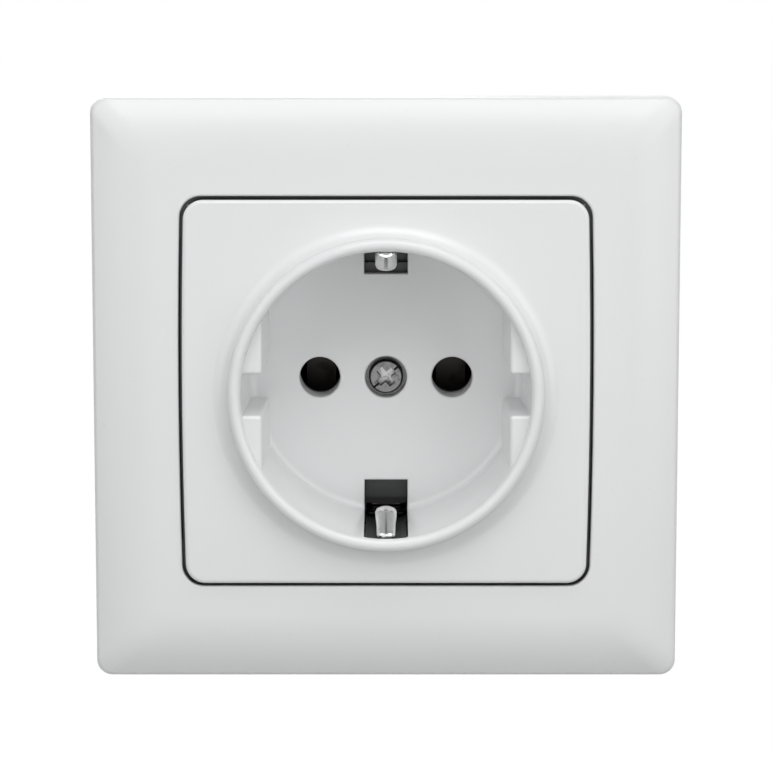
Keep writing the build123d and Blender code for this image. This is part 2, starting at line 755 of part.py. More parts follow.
# Spreader claws: bent steel, each with an eye on its pivot pin, a slotted foot for its screw and three teeth.
def spreader_claw():
    """Claw on the right-hand side, at rest against the mechanism."""
    foot_back = claw_pivot_y + claw_eye_radius
    foot_front = foot_back - claw_thickness
    arm_inner = claw_reach - claw_thickness
    outline = Pos(claw_pivot_x, claw_pivot_y) * Circle(claw_eye_radius)
    foot_mid = ((claw_pivot_x + claw_reach) / 2, (foot_front + foot_back) / 2)
    outline += Pos(*foot_mid) * Rectangle(claw_reach - claw_pivot_x, claw_thickness)
    tail_mid = ((arm_inner + claw_reach) / 2, (foot_front + claw_tail_y) / 2)
    outline += Pos(*tail_mid) * Rectangle(claw_thickness, claw_tail_y - foot_front)
    outline -= Pos(claw_pivot_x, claw_pivot_y) * Circle(claw_pin_radius + running_clearance)
    claw = extrude(outline, amount=claw_width / 2, both=True)
    bend = claw.edges().filter_by(Axis.Z).sort_by_distance((claw_reach, foot_front, 0))[0]
    claw = fillet([bend], claw_thickness)
    slot = SlotOverall(claw_slot_length, 2 * claw_screw_radius + claw_slot_play)
    claw -= slab(Pos(claw_screw_x - claw_slot_offset, 0) * slot, foot_front - past, foot_back + past)
    for step in (-1, 0, 1):
        pitch = claw_width / 3
        notch = make_face(
            Polyline(
                (claw_tail_y + past, (step - 0.5) * pitch),
                (claw_tail_y - claw_tooth, (step - 0.5) * pitch),
                (claw_tail_y + past, (step - 0.5) * pitch + pitch * 0.75),
                close=True,
            )
        )
        claw -= extrude(side_plane * notch, amount=claw_reach + 5)
    return Pos(0, 0, claw_height) * claw


claw_right = spreader_claw()
claw_left = Rot(0, 180, 0) * claw_right
cheek_span = 2 * (cheek_near + cheek_thickness)
claw_pin_right = Pos(claw_pivot_x, claw_pivot_y, claw_height) * Cylinder(claw_pin_radius, cheek_span)
claw_pin_left = Rot(0, 180, 0) * claw_pin_right
claw_screw = combination_screw(
    claw_screw_head_radius,
    claw_screw_head_height,
    claw_screw_radius,
    claw_screw_length,
    claw_screw_cross,
)
claw_screw_seat = Plane(
    origin=(claw_screw_x, -support_thickness, claw_height), x_dir=(1, 0, 0), z_dir=(0, -1, 0)
)
claw_screw_right = claw_screw_seat * claw_screw
claw_screw_left = Rot(0, 180, 0) * claw_screw_right

# Small screws: two hold the cap on the base, two hold the base between the support plate's legs.
small_screw = combination_screw(
    small_head_radius, small_head_height, small_shank_radius, small_screw_length, small_cross
)
cap_screws = []
yoke_screws = []
short_screw = combination_screw(
    small_head_radius, small_head_height, small_shank_radius, yoke_screw_length, small_cross
)
for side in (-1, 1):
    seat = Plane(
        origin=(side * cap_screw_x, cap_front_y + cap_screw_recess, cap_screw_z),
        x_dir=(1, 0, 0),
        z_dir=(0, -1, 0),
    )
    cap_screws.append(seat * small_screw)
    seat = Plane(origin=(0, yoke_screw_y, side * leg_outer), x_dir=(1, 0, 0), z_dir=(0, 0, side))
    yoke_screws.append(seat * short_screw)

nodes = {
    "cover_frame": cover_frame,
    "centre_plate": centre_plate,
    "centre_screw": centre_screw,
    "support_plate": support_plate,
    "contact_cap": contact_cap,
    "socket_base": socket_base,
    "screw_bush": screw_bush,
    "earth_strap": earth_strap,
    "live_contact": live_contact,
    "neutral_contact": neutral_contact,
    "live_clamp": clamps["live"],
    "neutral_clamp": clamps["neutral"],
    "earth_clamp": clamps["earth"],
    "live_terminal_screw": terminal_screws["live"],
    "neutral_terminal_screw": terminal_screws["neutral"],
    "earth_terminal_screw": terminal_screws["earth"],
    "claw_left": claw_left,
    "claw_right": claw_right,
    "claw_pin_left": claw_pin_left,
    "claw_pin_right": claw_pin_right,
    "claw_screw_left": claw_screw_left,
    "claw_screw_right": claw_screw_right,
    "cap_screws": Compound(children=cap_screws),
    "yoke_screws": Compound(children=yoke_screws),
}
for name, shape in nodes.items():
    export_step(shape, f"parts/{name}.step")
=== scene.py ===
import math

import bmesh
import bpy
from mathutils import Matrix, Vector


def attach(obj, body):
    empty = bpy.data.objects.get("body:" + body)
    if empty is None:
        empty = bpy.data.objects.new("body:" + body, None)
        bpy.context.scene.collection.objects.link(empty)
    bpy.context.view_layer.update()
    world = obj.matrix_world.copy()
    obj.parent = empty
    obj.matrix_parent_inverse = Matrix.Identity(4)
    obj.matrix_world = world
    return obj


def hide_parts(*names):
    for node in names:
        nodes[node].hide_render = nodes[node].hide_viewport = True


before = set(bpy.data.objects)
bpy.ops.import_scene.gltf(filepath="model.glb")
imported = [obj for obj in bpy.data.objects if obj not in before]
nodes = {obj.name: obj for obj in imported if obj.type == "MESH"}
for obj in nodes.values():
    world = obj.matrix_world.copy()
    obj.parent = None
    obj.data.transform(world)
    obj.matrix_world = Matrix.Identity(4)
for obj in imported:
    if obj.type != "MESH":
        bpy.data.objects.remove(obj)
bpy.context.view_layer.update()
mm = 0.001


# Viewpoint, light and floor
# The socket hangs upright, seen from a little above by a camera 0.42 m away. Soft lamps stand above it, at
# both sides, low in front and behind, and the floor and the background are white.
stand_off = 420 * mm
camera_rise = 0.1645
frame_shift = -0.11
pixels_per_metre = 7080
picture = 772
sensor = 36.0

sight = math.atan(camera_rise)
reach = stand_off / math.cos(sight)
lens = pixels_per_metre * sensor * reach / picture
pitch = sight - math.atan(-frame_shift * sensor / lens)

camera_data = bpy.data.cameras.new("camera")
camera_data.sensor_width = sensor
camera_data.lens = lens
camera_data.shift_y = frame_shift
camera_data.clip_start = 0.01
camera = bpy.data.objects.new("camera", camera_data)
bpy.context.scene.collection.objects.link(camera)
camera.location = (0, -stand_off, camera_rise * stand_off)
camera.rotation_euler = (math.radians(90) - pitch, 0, 0)
bpy.context.scene.camera = camera
bpy.context.scene.view_settings.view_transform = "Standard"


def soft_lamp(name, place, size, power):
    """Square white area lamp that shines at the socket from its place."""
    data = bpy.data.lights.new(name, "AREA")
    data.size = size
    data.energy = power
    lamp = bpy.data.objects.new(name, data)
    bpy.context.scene.collection.objects.link(lamp)
    lamp.location = place
    lamp.rotation_euler = (-Vector(place)).to_track_quat("-Z", "Y").to_euler()
    lamp.visible_camera = False


soft_lamp("high_lamp", (0.05, -0.30, 0.55), 0.50, 2.35)
soft_lamp("upper_lamp", (-0.20, -0.35, 0.30), 0.30, 0.16)
soft_lamp("right_lamp", (0.35, -0.30, 0.10), 0.40, 0.88)
soft_lamp("left_lamp", (-0.35, -0.30, 0.10), 0.40, 0.64)
soft_lamp("low_lamp", (0.0, -0.45, -0.10), 0.30, 0.31)
soft_lamp("rear_lamp", (-0.15, 0.40, 0.30), 0.40, 1.40)


def seen_directly(tree):
    """Factor that is one for camera, glossy and transmission rays and zero for light on matt surfaces."""
    path = tree.nodes.new("ShaderNodeLightPath")
    first = tree.nodes.new("ShaderNodeMath")
    first.operation = "MAXIMUM"
    tree.links.new(path.outputs["Is Camera Ray"], first.inputs[0])
    tree.links.new(path.outputs["Is Glossy Ray"], first.inputs[1])
    second = tree.nodes.new("ShaderNodeMath")
    second.operation = "MAXIMUM"
    tree.links.new(first.outputs[0], second.inputs[0])
    tree.links.new(path.outputs["Is Transmission Ray"], second.inputs[1])
    return second.outputs[0]


room_light = 0.01
world = bpy.data.worlds.new("room")
world.use_nodes = True
bpy.context.scene.world = world
sky = world.node_tree.nodes["Background"]
sky.inputs["Color"].default_value = (1, 1, 1, 1)
strength = world.node_tree.nodes.new("ShaderNodeMapRange")
strength.inputs["To Min"].default_value = room_light
strength.inputs["To Max"].default_value = 1.0
world.node_tree.links.new(seen_directly(world.node_tree), strength.inputs["Value"])
world.node_tree.links.new(strength.outputs["Result"], sky.inputs["Strength"])

floor_drop = 0.12
half_floor = 3.0
floor_white = (0.35, 0.35, 0.35)
floor_roughness = 0.9
floor_glow = 1.07
floor_share = 0.93
corners = ((-1, -1), (1, -1), (1, 1), (-1, 1))
floor_data = bpy.data.meshes.new("floor")
floor_points = [(x * half_floor, y * half_floor, -floor_drop) for x, y in corners]
floor_data.from_pydata(floor_points, [], [(0, 1, 2, 3)])
floor = bpy.data.objects.new("floor", floor_data)
bpy.context.scene.collection.objects.link(floor)
floor_paint = bpy.data.materials.new("white_floor")
floor_paint.use_nodes = True
tree = floor_paint.node_tree
matt = tree.nodes["Principled BSDF"]
matt.inputs["Base Color"].default_value = (*floor_white, 1)
matt.inputs["Roughness"].default_value = floor_roughness
glow = tree.nodes.new("ShaderNodeEmission")
glow.inputs["Color"].default_value = (1, 1, 1, 1)
glow.inputs["Strength"].default_value = floor_glow
share = tree.nodes.new("ShaderNodeMath")
share.operation = "MULTIPLY"
share.inputs[1].default_value = floor_share
tree.links.new(seen_directly(tree), share.inputs[0])
floor_mix = tree.nodes.new("ShaderNodeMixShader")
tree.links.new(share.outputs[0], floor_mix.inputs[0])
tree.links.new(matt.outputs[0], floor_mix.inputs[1])
tree.links.new(glow.outputs[0], floor_mix.inputs[2])
tree.links.new(floor_mix.outputs[0], tree.nodes["Material Output"].inputs["Surface"])
floor_data.materials.append(floor_paint)


# Cover frame
# Injection moulding of white polycarbonate with a satin skin. It has no screws: the centre plate holds it
# against the wall by the tabs in the corners of its opening.
def moulded_grain_group():
    """Skin of a moulding: a faint mottle in the colour, a fine grain in gloss and height."""
    group = bpy.data.node_groups.new("moulded_grain", "ShaderNodeTree")
    for name, kind, value in (
        ("Colour", "NodeSocketColor", (0.8, 0.8, 0.8, 1)),
        ("Grain Scale", "NodeSocketFloat", 900.0),
        ("Mottle Scale", "NodeSocketFloat", 45.0),
        ("Mottle", "NodeSocketFloat", 0.03),
        ("Gloss", "NodeSocketFloat", 0.3),
        ("Gloss Spread", "NodeSocketFloat", 0.1),
    ):
        socket = group.interface.new_socket(name=name, in_out="INPUT", socket_type=kind)
        socket.default_value = value
    for name, kind in (
        ("Colour", "NodeSocketColor"), ("Roughness", "NodeSocketFloat"), ("Height", "NodeSocketFloat"),
    ):
        group.interface.new_socket(name=name, in_out="OUTPUT", socket_type=kind)
    entry = group.nodes.new("NodeGroupInput")
    out = group.nodes.new("NodeGroupOutput")
    coords = group.nodes.new("ShaderNodeTexCoord")
    fine = group.nodes.new("ShaderNodeTexNoise")
    fine.inputs["Detail"].default_value = 4.0
    group.links.new(coords.outputs["Object"], fine.inputs["Vector"])
    group.links.new(entry.outputs["Grain Scale"], fine.inputs["Scale"])
    cloud = group.nodes.new("ShaderNodeTexNoise")
    cloud.inputs["Detail"].default_value = 3.0
    group.links.new(coords.outputs["Object"], cloud.inputs["Vector"])
    group.links.new(entry.outputs["Mottle Scale"], cloud.inputs["Scale"])
    sway = group.nodes.new("ShaderNodeMapRange")
    sway.inputs["From Min"].default_value = 0.3
    sway.inputs["From Max"].default_value = 0.7
    sway.inputs["To Max"].default_value = 1.0
    darkest = group.nodes.new("ShaderNodeMath")
    darkest.operation = "SUBTRACT"
    darkest.inputs[0].default_value = 1.0
    group.links.new(entry.outputs["Mottle"], darkest.inputs[1])
    group.links.new(darkest.outputs[0], sway.inputs["To Min"])
    group.links.new(cloud.outputs["Fac"], sway.inputs["Value"])
    tint = group.nodes.new("ShaderNodeVectorMath")
    tint.operation = "SCALE"
    group.links.new(entry.outputs["Colour"], tint.inputs[0])
    group.links.new(sway.outputs["Result"], tint.inputs["Scale"])
    group.links.new(tint.outputs["Vector"], out.inputs["Colour"])
    rough = group.nodes.new("ShaderNodeMath")
    rough.operation = "MULTIPLY_ADD"
    group.links.new(fine.outputs["Fac"], rough.inputs[0])
    group.links.new(entry.outputs["Gloss Spread"], rough.inputs[1])
    group.links.new(entry.outputs["Gloss"], rough.inputs[2])
    group.links.new(rough.outputs[0], out.inputs["Roughness"])
    group.links.new(fine.outputs["Fac"], out.inputs["Height"])
    return group


moulded_grain = moulded_grain_group()


def moulded_plastic(name, colour, skin, relief):
    """Plastic with the moulded grain in its colour, roughness and surface."""
    paint = bpy.data.materials.new(name)
    paint.use_nodes = True
    tree = paint.node_tree
    shader = tree.nodes["Principled BSDF"]
    grain = tree.nodes.new("ShaderNodeGroup")
    grain.node_tree = moulded_grain
    grain.inputs["Colour"].default_value = (*colour, 1)
    for socket, value in skin.items():
        grain.inputs[socket].default_value = value
    bump = tree.nodes.new("ShaderNodeBump")
    bump.inputs["Distance"].default_value = relief
    bump.inputs["Strength"].default_value = 0.3
    tree.links.new(grain.outputs["Colour"], shader.inputs["Base Color"])
    tree.links.new(grain.outputs["Roughness"], shader.inputs["Roughness"])
    tree.links.new(grain.outputs["Height"], bump.inputs["Height"])
    tree.links.new(bump.outputs["Normal"], shader.inputs["Normal"])
    return paint


def finish_node(name, paint):
    """Give a CAD node its material in place of the plain one."""
    node = nodes[name]
    node.data.materials.clear()
    node.data.materials.append(paint)


def gap_shade_group():
    """Mask that is one deep in the narrow gap round the centre plate, where no light gets to."""
    group = bpy.data.node_groups.new("gap_shade", "ShaderNodeTree")
    for name in ("Half Width", "Half Height", "Band", "Front Level"):
        group.interface.new_socket(name=name, in_out="INPUT", socket_type="NodeSocketFloat")
    group.interface.new_socket(name="Mask", in_out="OUTPUT", socket_type="NodeSocketFloat")
    entry = group.nodes.new("NodeGroupInput")
    out = group.nodes.new("NodeGroupOutput")
    coords = group.nodes.new("ShaderNodeTexCoord")
    split = group.nodes.new("ShaderNodeSeparateXYZ")
    group.links.new(coords.outputs["Object"], split.inputs[0])

    def reckon(operation, *values):
        """Output of a math node."""
        node = group.nodes.new("ShaderNodeMath")
        node.operation = operation
        for index, value in enumerate(values):
            if isinstance(value, bpy.types.NodeSocket):
                group.links.new(value, node.inputs[index])
            else:
                node.inputs[index].default_value = value
        return node.outputs[0]

    beside = reckon("SUBTRACT", reckon("ABSOLUTE", split.outputs["X"]), entry.outputs["Half Width"])
    above = reckon("SUBTRACT", reckon("ABSOLUTE", split.outputs["Z"]), entry.outputs["Half Height"])
    off = reckon("ABSOLUTE", reckon("MAXIMUM", beside, above))
    near = reckon("LESS_THAN", off, entry.outputs["Band"])
    fade = 0.5 * mm
    deep = group.nodes.new("ShaderNodeMapRange")
    deep.inputs["From Max"].default_value = fade
    behind = reckon("SUBTRACT", split.outputs["Y"], entry.outputs["Front Level"])
    group.links.new(behind, deep.inputs["Value"])
    group.links.new(reckon("MULTIPLY", near, deep.outputs["Result"]), out.inputs["Mask"])
    return group


gap_shade = gap_shade_group()


gap_half_width = 28.75
gap_half_height = 27.25
gap_band = 1.1
gap_black = (0.05, 0.05, 0.05)


def shade_gap(paint, front_level):
    """Darken a white moulding where it walls in the gap round the centre plate."""
    tree = paint.node_tree
    mask = tree.nodes.new("ShaderNodeGroup")
    mask.node_tree = gap_shade
    mask.inputs["Half Width"].default_value = gap_half_width * mm
    mask.inputs["Half Height"].default_value = gap_half_height * mm
    mask.inputs["Band"].default_value = gap_band * mm
    mask.inputs["Front Level"].default_value = front_level
    blend = tree.nodes.new("ShaderNodeMix")
    blend.data_type = "RGBA"
    blend.inputs["B"].default_value = (*gap_black, 1)
    shader = tree.nodes["Principled BSDF"]
    plain = shader.inputs["Base Color"].links[0].from_socket
    tree.links.new(mask.outputs["Mask"], blend.inputs["Factor"])
    tree.links.new(plain, blend.inputs["A"])
    tree.links.new(blend.outputs["Result"], shader.inputs["Base Color"])


satin_skin = {
    "Grain Scale": 1500.0, "Mottle Scale": 60.0, "Mottle": 0.008, "Gloss": 0.26, "Gloss Spread": 0.05,
}
moulded_white = (0.80, 0.805, 0.808)
moulded_relief = 0.002 * mm
white_frame = moulded_plastic("white_frame", moulded_white, satin_skin, moulded_relief)
shade_gap(white_frame, -5.5 * mm)
finish_node("cover_frame", white_frame)

opening_half = (28.9, 27.5)
opening_bow = 0.4
strip_reach = (22.95, 21.55)
ledge_front = -3.5
ledge_back = -2.6
ledge_width = 2.2
strip_wall = 1.2
band_back = -4.4
strip_steps = 12
edge_break = 0.08
ledge = bmesh.new()
for along, half_length in (("z", strip_reach[1]), ("x", strip_reach[0])):
    for side in (1, -1):
        rings = []
        for step in range(strip_steps + 1):
            run = half_length * (2 * step / strip_steps - 1)
            bow = opening_bow * (run / opening_half[1]) ** 2
            edge = opening_half[0] - bow if along == "z" else opening_half[1]
            ring = []
            for out, level in (
                (-ledge_width, ledge_front), (0.0, ledge_front), (0.0, band_back), (strip_wall, band_back),
                (strip_wall, ledge_back), (-ledge_width, ledge_back),
            ):
                place = side * (edge + out)
                where = (place, level, run) if along == "z" else (run, level, place)
                ring.append(ledge.verts.new(Vector(where) * mm))
            rings.append(ring)
        for low, high in zip(rings, rings[1:]):
            for index in range(6):
                after = (index + 1) % 6
                ledge.faces.new((low[index], low[after], high[after], high[index]))
        ledge.faces.new(rings[0])
        ledge.faces.new(rings[-1])
bmesh.ops.recalc_face_normals(ledge, faces=ledge.faces)
bmesh.ops.bevel(
    ledge, geom=ledge.edges[:], offset=edge_break * mm, segments=1, affect="EDGES", clamp_overlap=True
)
ledge_mesh = bpy.data.meshes.new("frame_ledge")
ledge.to_mesh(ledge_mesh)
ledge.free()
ledge_mesh.materials.append(white_frame)
ledge_piece = bpy.data.objects.new("frame_ledge", ledge_mesh)
bpy.context.scene.collection.objects.link(ledge_piece)
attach(ledge_piece, "socket")


# Centre plate
# The same white polycarbonate in one moulding: front panel, raised ring, deep well with its guide ribs, pin
# holes and earthing slots. The centre screw pulls it down on the mechanism.
well_skin = {
    "Grain Scale": 1800.0, "Mottle Scale": 80.0, "Mottle": 0.010, "Gloss": 0.22, "Gloss Spread": 0.06,
}
white_plate = moulded_plastic("white_plate", moulded_white, well_skin, moulded_relief)
shade_gap(white_plate, -6.0 * mm)
finish_node("centre_plate", white_plate)


# Centre screw
# Zinc-plated steel screw with a turned flat head, a cross recess and a slot. It sits in the round recess in
# the middle of the well and runs into the brass bush of the base.
def plated_skin_group():
    """Skin of a metal piece: rolling or turning streaks in gloss and height, with dull specks in colour and
    gloss.
    """
    group = bpy.data.node_groups.new("plated_skin", "ShaderNodeTree")
    for name, kind, value in (
        ("Colour", "NodeSocketColor", (0.6, 0.6, 0.6, 1)),
        ("Tarnish", "NodeSocketColor", (0.4, 0.4, 0.4, 1)),
        ("Stretch", "NodeSocketVector", (1.0, 1.0, 1.0)),
        ("Streak Scale", "NodeSocketFloat", 500.0),
        ("Speck Scale", "NodeSocketFloat", 220.0),
        ("Gloss", "NodeSocketFloat", 0.3),
        ("Gloss Spread", "NodeSocketFloat", 0.15),
    ):
        socket = group.interface.new_socket(name=name, in_out="INPUT", socket_type=kind)
        socket.default_value = value
    for name, kind in (
        ("Colour", "NodeSocketColor"), ("Roughness", "NodeSocketFloat"), ("Height", "NodeSocketFloat"),
    ):
        group.interface.new_socket(name=name, in_out="OUTPUT", socket_type=kind)
    entry = group.nodes.new("NodeGroupInput")
    out = group.nodes.new("NodeGroupOutput")
    coords = group.nodes.new("ShaderNodeTexCoord")
    stretched = group.nodes.new("ShaderNodeVectorMath")
    stretched.operation = "MULTIPLY"
    group.links.new(coords.outputs["Object"], stretched.inputs[0])
    group.links.new(entry.outputs["Stretch"], stretched.inputs[1])
    streak = group.nodes.new("ShaderNodeTexNoise")
    streak.inputs["Detail"].default_value = 5.0
    group.links.new(stretched.outputs["Vector"], streak.inputs["Vector"])
    group.links.new(entry.outputs["Streak Scale"], streak.inputs["Scale"])
    speck = group.nodes.new("ShaderNodeTexNoise")
    speck.inputs["Detail"].default_value = 6.0
    group.links.new(coords.outputs["Object"], speck.inputs["Vector"])
    group.links.new(entry.outputs["Speck Scale"], speck.inputs["Scale"])
    dull = group.nodes.new("ShaderNodeMapRange")
    dull.inputs["From Min"].default_value = 0.52
    dull.inputs["From Max"].default_value = 0.72
    group.links.new(speck.outputs["Fac"], dull.inputs["Value"])
    blend = group.nodes.new("ShaderNodeMix")
    blend.data_type = "RGBA"
    group.links.new(dull.outputs["Result"], blend.inputs["Factor"])
    group.links.new(entry.outputs["Colour"], blend.inputs["A"])
    group.links.new(entry.outputs["Tarnish"], blend.inputs["B"])
    group.links.new(blend.outputs["Result"], out.inputs["Colour"])
    total = group.nodes.new("ShaderNodeMath")
    total.operation = "MULTIPLY_ADD"
    total.inputs[1].default_value = 0.6
    group.links.new(dull.outputs["Result"], total.inputs[0])
    group.links.new(streak.outputs["Fac"], total.inputs[2])
    rough = group.nodes.new("ShaderNodeMath")
    rough.operation = "MULTIPLY_ADD"
    group.links.new(total.outputs[0], rough.inputs[0])
    group.links.new(entry.outputs["Gloss Spread"], rough.inputs[1])
    group.links.new(entry.outputs["Gloss"], rough.inputs[2])
    group.links.new(rough.outputs[0], out.inputs["Roughness"])
    group.links.new(streak.outputs["Fac"], out.inputs["Height"])
    return group


plated_skin = plated_skin_group()


def plated_metal(name, colour, tarnish, skin, stretch, relief):
    """Metal with the plated skin in its colour, roughness and surface."""
    paint = bpy.data.materials.new(name)
    paint.use_nodes = True
    tree = paint.node_tree
    shader = tree.nodes["Principled BSDF"]
    shader.inputs["Metallic"].default_value = 1.0
    metal = tree.nodes.new("ShaderNodeGroup")
    metal.node_tree = plated_skin
    metal.inputs["Colour"].default_value = (*colour, 1)
    metal.inputs["Tarnish"].default_value = (*tarnish, 1)
    metal.inputs["Stretch"].default_value = stretch
    for socket, value in skin.items():
        metal.inputs[socket].default_value = value
    bump = tree.nodes.new("ShaderNodeBump")
    bump.name = "relief"
    bump.inputs["Distance"].default_value = relief
    bump.inputs["Strength"].default_value = 0.4
    tree.links.new(metal.outputs["Colour"], shader.inputs["Base Color"])
    tree.links.new(metal.outputs["Roughness"], shader.inputs["Roughness"])
    tree.links.new(metal.outputs["Height"], bump.inputs["Height"])
    tree.links.new(bump.outputs["Normal"], shader.inputs["Normal"])
    return paint


def threaded_screw_tree():
    """Screw with its head seat at z = 0: head with cross recess and slot above, threaded shank below."""
    tree = bpy.data.node_groups.new("threaded_screw", "GeometryNodeTree")
    tree.is_modifier = True
    for name in (
        "Head Radius", "Head Height", "Shank Radius", "Shank Length", "Thread Pitch", "Thread Depth",
        "Recess Width", "Slot Width",
    ):
        tree.interface.new_socket(name=name, in_out="INPUT", socket_type="NodeSocketFloat")
    tree.interface.new_socket(name="Finish", in_out="INPUT", socket_type="NodeSocketMaterial")
    tree.interface.new_socket(name="Geometry", in_out="OUTPUT", socket_type="NodeSocketGeometry")
    entry = tree.nodes.new("NodeGroupInput")
    size = entry.outputs

    def place(kind, links, **settings):
        """Node of a kind with its settings and with sockets or values on its inputs."""
        node = tree.nodes.new(kind)
        for key, value in settings.items():
            setattr(node, key, value)
        for key, value in links.items():
            if isinstance(value, bpy.types.NodeSocket):
                tree.links.new(value, node.inputs[key])
            else:
                node.inputs[key].default_value = value
        return node

    def reckon(operation, *values):
        """Output of a math node."""
        return place("ShaderNodeMath", dict(enumerate(values)), operation=operation).outputs[0]

    where = place("GeometryNodeInputPosition", {})
    spot = place("ShaderNodeSeparateXYZ", {0: where.outputs[0]})
    x, y, z = spot.outputs

    def reshape(mesh, scale, lift):
        """Scale a round bar about its axis by a factor that varies along it, and lift it."""
        moved = place("ShaderNodeCombineXYZ", {
            0: reckon("MULTIPLY", x, scale), 1: reckon("MULTIPLY", y, scale), 2: reckon("ADD", z, lift),
        })
        return place("GeometryNodeSetPosition", {"Geometry": mesh, "Position": moved.outputs[0]}).outputs[0]

    steps_per_turn = 8.0
    turns = reckon("DIVIDE", size["Shank Length"], size["Thread Pitch"])
    bar = place("GeometryNodeMeshCylinder", {
        "Vertices": 28, "Side Segments": reckon("MULTIPLY", turns, steps_per_turn),
        "Radius": size["Shank Radius"], "Depth": size["Shank Length"],
    })
    angle = reckon("DIVIDE", reckon("ARCTAN2", y, x), 2 * math.pi)
    helix = reckon("FRACT", reckon("SUBTRACT", reckon("DIVIDE", z, size["Thread Pitch"]), angle))
    flank = reckon("ABSOLUTE", reckon("MULTIPLY_ADD", helix, 2.0, -1.0))
    half_length = reckon("DIVIDE", size["Shank Length"], 2.0)
    neck = reckon("MINIMUM", reckon("DIVIDE", reckon("SUBTRACT", half_length, z), size["Thread Pitch"]), 1.0)
    point = reckon("MINIMUM", reckon("DIVIDE", reckon("ADD", half_length, z), size["Thread Pitch"]), 1.0)
    groove = reckon("MULTIPLY", reckon("MULTIPLY", flank, neck), size["Thread Depth"])
    bevel = reckon("MULTIPLY", reckon("SUBTRACT", 1.0, point), size["Thread Depth"])
    waist = reckon("SUBTRACT", reckon("SUBTRACT", size["Shank Radius"], groove), bevel)
    sink = reckon("MULTIPLY", half_length, -1.0)
    shank = reshape(bar.outputs["Mesh"], reckon("DIVIDE", waist, size["Shank Radius"]), sink)

    blank = place("GeometryNodeMeshCylinder", {
        "Vertices": 56, "Side Segments": 12, "Radius": size["Head Radius"], "Depth": size["Head Height"],
    })
    rim_start = 0.75
    rim_roundness = 1.9
    half_head = reckon("DIVIDE", size["Head Height"], 2.0)
    rise = reckon("DIVIDE", reckon("ADD", z, half_head), size["Head Height"])
    rim = reckon("MAXIMUM", reckon("SUBTRACT", rise, rim_start), 0.0)
    shrink = reckon("SUBTRACT", 1.0, reckon("MULTIPLY", reckon("MULTIPLY", rim, rim), rim_roundness))
    head = reshape(blank.outputs["Mesh"], shrink, half_head)

    cross_arm = 0.36
    cross_cut = 1.5
    slot_cut = 0.5
    slot_reach = 3.0
    arm = reckon("MULTIPLY", size["Recess Width"], cross_arm)
    deep = reckon("MULTIPLY", size["Head Height"], cross_cut)
    shallow = reckon("MULTIPLY", size["Head Height"], slot_cut)
    across = reckon("MULTIPLY", size["Head Radius"], slot_reach)
    drilled = place("GeometryNodeMeshBoolean", {0: head}, operation="DIFFERENCE", solver="EXACT")
    recess = size["Recess Width"]
    for wide, high, far in ((recess, arm, deep), (arm, recess, deep), (across, size["Slot Width"], shallow)):
        extent = place("ShaderNodeCombineXYZ", {0: wide, 1: high, 2: far})
        cutter = place("GeometryNodeMeshCube", {"Size": extent.outputs[0]})
        lift = place("ShaderNodeCombineXYZ", {2: size["Head Height"]})
        raised = place("GeometryNodeTransform", {
            "Geometry": cutter.outputs["Mesh"], "Translation": lift.outputs[0],
        })
        tree.links.new(raised.outputs[0], drilled.inputs[1])
    whole = place("GeometryNodeJoinGeometry", {})
    tree.links.new(drilled.outputs[0], whole.inputs[0])
    tree.links.new(shank, whole.inputs[0])
    real = place("GeometryNodeRealizeInstances", {0: whole.outputs[0]})
    painted = place("GeometryNodeSetMaterial", {"Geometry": real.outputs[0], "Material": size["Finish"]})
    out = tree.nodes.new("NodeGroupOutput")
    tree.links.new(painted.outputs[0], out.inputs[0])
    return tree


threaded_screw = threaded_screw_tree()


def show_piece(name, mesh, paint, replaced):
    """Put a finished mesh into the scene as a fixed piece that stands for a CAD node."""
    mesh.materials.clear()
    mesh.materials.append(paint)
    piece = bpy.data.objects.new(name, mesh)
    bpy.context.scene.collection.objects.link(piece)
    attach(piece, "socket")
    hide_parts(replaced)


def fit_screws(name, sizes, seats, paint, replaced):
    """Make one piece of equal screws, each with its seat at a place, its head's way and its own turn."""
    carrier = bpy.data.objects.new(name + "_maker", bpy.data.meshes.new(name + "_maker"))
    bpy.context.scene.collection.objects.link(carrier)
    maker = carrier.modifiers.new("screw", "NODES")
    maker.node_group = threaded_screw
    inputs = [item for item in threaded_screw.interface.items_tree if item.in_out == "INPUT"]
    sockets = {item.name: item.identifier for item in inputs}
    for socket, value in sizes.items():
        maker[sockets[socket]] = value * mm
    maker[sockets["Finish"]] = paint
    depsgraph = bpy.context.evaluated_depsgraph_get()
    single = bpy.data.meshes.new_from_object(carrier.evaluated_get(depsgraph), depsgraph=depsgraph)
    carrier.modifiers.remove(maker)
    bpy.data.objects.remove(carrier)
    joined = bmesh.new()
    for place, head_way, turn in seats:
        upright = Vector(head_way).to_track_quat("Z", "Y").to_matrix().to_4x4()
        copy = single.copy()
        copy.transform(Matrix.Translation(Vector(place) * mm) @ upright @ Matrix.Rotation(turn, 4, "Z"))
        joined.from_mesh(copy)
        bpy.data.meshes.remove(copy)
    bpy.data.meshes.remove(single)
    mesh = bpy.data.meshes.new(name)
    joined.to_mesh(mesh)
    joined.free()
    mesh.shade_smooth()
    mesh.set_sharp_from_angle(angle=math.radians(32))
    show_piece(name, mesh, paint, replaced)


